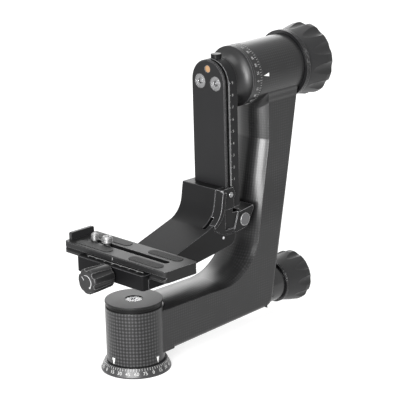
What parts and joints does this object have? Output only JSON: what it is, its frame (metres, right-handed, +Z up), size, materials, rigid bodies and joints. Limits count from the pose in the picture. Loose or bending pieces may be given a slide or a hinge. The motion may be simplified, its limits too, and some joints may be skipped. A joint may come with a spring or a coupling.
{
  "type": "gimbal tripod head",
  "caption": "Gimbal tripod head: an L-shaped carbon arm turns on a base flange and carries a swinging rail with a sliding bracket, a screw clamp and a slotted lens plate.",
  "frame": {"origin": "middle of the base's underside, on the pan axis", "axes": "+Z up along the pan axis, +X from the pan axis towards the lock knobs, parallel to the tilt axis, +Y along the lens plate towards its stop lip"},
  "size_m": [0.2727, 0.126, 0.263],
  "materials": {
    "carbon": "satin lacquered carbon weave",
    "black_metal": "black anodised, fine blasted",
    "grey_metal": "grey anodised",
    "plate_metal": "dark grey anodised",
    "black_plastic": "matte rubberised",
    "black_rubber": "matte",
    "steel": "machined",
    "bronze": "sintered",
    "copper": "satin"
  },
  "bodies": {
    "base": {"base_flange": "black_metal", "base_screws": "steel", "tripod_insert": "steel", "pan_shaft": "steel", "pan_inner_races": "steel", "pan_brake_sleeve": "bronze", "pan_washer": "steel", "pan_screw": "steel"},
    "arm": {"arm_shell": "carbon", "pan_cap": "grey_metal", "cap_ring": "black_rubber", "pan_outer_races": "steel", "pan_retaining_ring": "steel", "tilt_outer_races": "steel", "tilt_retaining_rings": "steel", "pan_lock_collar": "black_metal"},
    "pan_ball_set": {"pan_balls": "steel"},
    "tilt_ball_set": {"tilt_balls": "steel"},
    "pan_lock": {"pan_knob": "black_plastic", "pan_knob_ring": "black_metal", "pan_spindle": "steel", "pan_knob_screw": "steel"},
    "pan_brake": {"pan_brake_rod": "steel", "pan_brake_shoe": "bronze"},
    "tilt_lock": {"tilt_knob": "black_plastic", "tilt_knob_ring": "black_metal", "tilt_spindle": "steel", "tilt_knob_screw": "steel"},
    "tilt_brake": {"tilt_brake_disc": "bronze"},
    "cradle": {"swing_rail": "black_metal", "tilt_hub": "black_metal", "scale_ring": "black_metal", "tilt_shaft": "steel", "tilt_inner_races": "steel", "tilt_spacer": "grey_metal", "brake_flange": "steel", "tilt_bolt": "steel", "rail_screws": "steel", "brass_plug": "copper", "button_spring": "steel"},
    "button": {"top_button": "black_plastic"},
    "bracket": {"l_bracket": "black_metal", "clamp_body": "black_metal", "clamp_screws": "steel", "spring_pin": "steel"},
    "bracket_jaw": {"bracket_jaw": "black_metal", "jaw_adjust_screw": "steel", "bracket_bolt": "steel"},
    "bracket_knob": {"bracket_knob": "black_plastic"},
    "clamp_jaw": {"clamp_jaw": "black_metal", "clamp_guide_pins": "steel"},
    "clamp_knob": {"clamp_knob": "black_plastic", "clamp_stud": "steel"},
    "lens_plate": {"lens_plate": "plate_metal", "plate_pads": "black_rubber", "stop_lip": "black_metal"},
    "quarter_carriage": {"quarter_washer": "steel"},
    "quarter_screw": {"quarter_screw": "steel"},
    "three_eighths_carriage": {"three_eighths_washer": "steel"},
    "three_eighths_screw": {"three_eighths_screw": "steel"}
  },
  "joints": [
    {"name": "pan", "type": "hinge", "parent": "base", "child": "arm", "pos_m": [0, 0, 0.03], "axis": [0, 0, 1], "continuous": true},
    {"name": "pan_ball_roll", "type": "hinge", "parent": "base", "child": "pan_ball_set", "pos_m": [0, 0, 0.03], "axis": [0, 0, 1], "continuous": true},
    {"name": "tilt", "type": "hinge", "parent": "arm", "child": "cradle", "pos_m": [0.15, 0, 0.2312], "axis": [1, 0, 0], "continuous": true},
    {"name": "tilt_ball_roll", "type": "hinge", "parent": "arm", "child": "tilt_ball_set", "pos_m": [0.15, 0, 0.2312], "axis": [1, 0, 0], "continuous": true},
    {"name": "pan_lock_turn", "type": "hinge", "parent": "arm", "child": "pan_lock", "pos_m": [0.18, 0, 0.0311], "axis": [1, 0, 0], "range_deg": [0, 180]},
    {"name": "pan_brake_slide", "type": "slide", "parent": "arm", "child": "pan_brake", "axis": [-1, 0, 0], "range_m": [0, 0.0006]},
    {"name": "tilt_lock_turn", "type": "hinge", "parent": "arm", "child": "tilt_lock", "pos_m": [0.2, 0, 0.2312], "axis": [1, 0, 0], "range_deg": [0, 180]},
    {"name": "tilt_brake_slide", "type": "slide", "parent": "arm", "child": "tilt_brake", "axis": [-1, 0, 0], "range_m": [0, 0.0006]},
    {"name": "button_press", "type": "slide", "parent": "cradle", "child": "button", "axis": [0, 0, -1], "range_m": [0, 0.002], "stiffness_N_per_m": 300, "deforming": ["button_spring"]},
    {"name": "bracket_slide", "type": "slide", "parent": "cradle", "child": "bracket", "axis": [0, 0, 1], "range_m": [0, 0.08]},
    {"name": "bracket_jaw_slide", "type": "slide", "parent": "bracket", "child": "bracket_jaw", "axis": [0, 1, 0], "range_m": [0, 0.0002]},
    {"name": "bracket_knob_turn", "type": "hinge", "parent": "bracket", "child": "bracket_knob", "pos_m": [0.1132, 0.03, 0.109], "axis": [0, 1, 0], "range_deg": [0, 270]},
    {"name": "clamp_jaw_slide", "type": "slide", "parent": "bracket", "child": "clamp_jaw", "axis": [-1, 0, 0], "range_m": [0, 0.0015]},
    {"name": "clamp_knob_turn", "type": "hinge", "parent": "clamp_jaw", "child": "clamp_knob", "pos_m": [-0.04, 0, 0.0897], "axis": [1, 0, 0], "range_deg": [0, 540]},
    {"name": "plate_slide", "type": "slide", "parent": "bracket", "child": "lens_plate", "axis": [0, 1, 0], "range_m": [-0.025, 0.025]},
    {"name": "quarter_slide", "type": "slide", "parent": "lens_plate", "child": "quarter_carriage", "axis": [0, 1, 0], "range_m": [-0.001, 0.0005]},
    {"name": "quarter_spin", "type": "hinge", "parent": "quarter_carriage", "child": "quarter_screw", "pos_m": [0, 0.047, 0.1], "axis": [0, 0, 1], "continuous": true},
    {"name": "three_eighths_slide", "type": "slide", "parent": "lens_plate", "child": "three_eighths_carriage", "axis": [0, 1, 0], "range_m": [-0.068, 0.001]},
    {"name": "three_eighths_spin", "type": "hinge", "parent": "three_eighths_carriage", "child": "three_eighths_screw", "pos_m": [0, 0.031, 0.1], "axis": [0, 0, 1], "continuous": true}
  ],
  "couplings": [
    {"joint": "pan_ball_roll", "follows": "pan", "ratio": 0.5708},
    {"joint": "tilt_ball_roll", "follows": "tilt", "ratio": 0.4292},
    {"joint": "pan_lock_turn", "follows": "pan_brake_slide", "rad_per_m": 5235},
    {"joint": "tilt_lock_turn", "follows": "tilt_brake_slide", "rad_per_m": 5235},
    {"joint": "bracket_knob_turn", "follows": "bracket_jaw_slide", "rad_per_m": 23560},
    {"joint": "clamp_knob_turn", "follows": "clamp_jaw_slide", "rad_per_m": 6283}
  ]
}
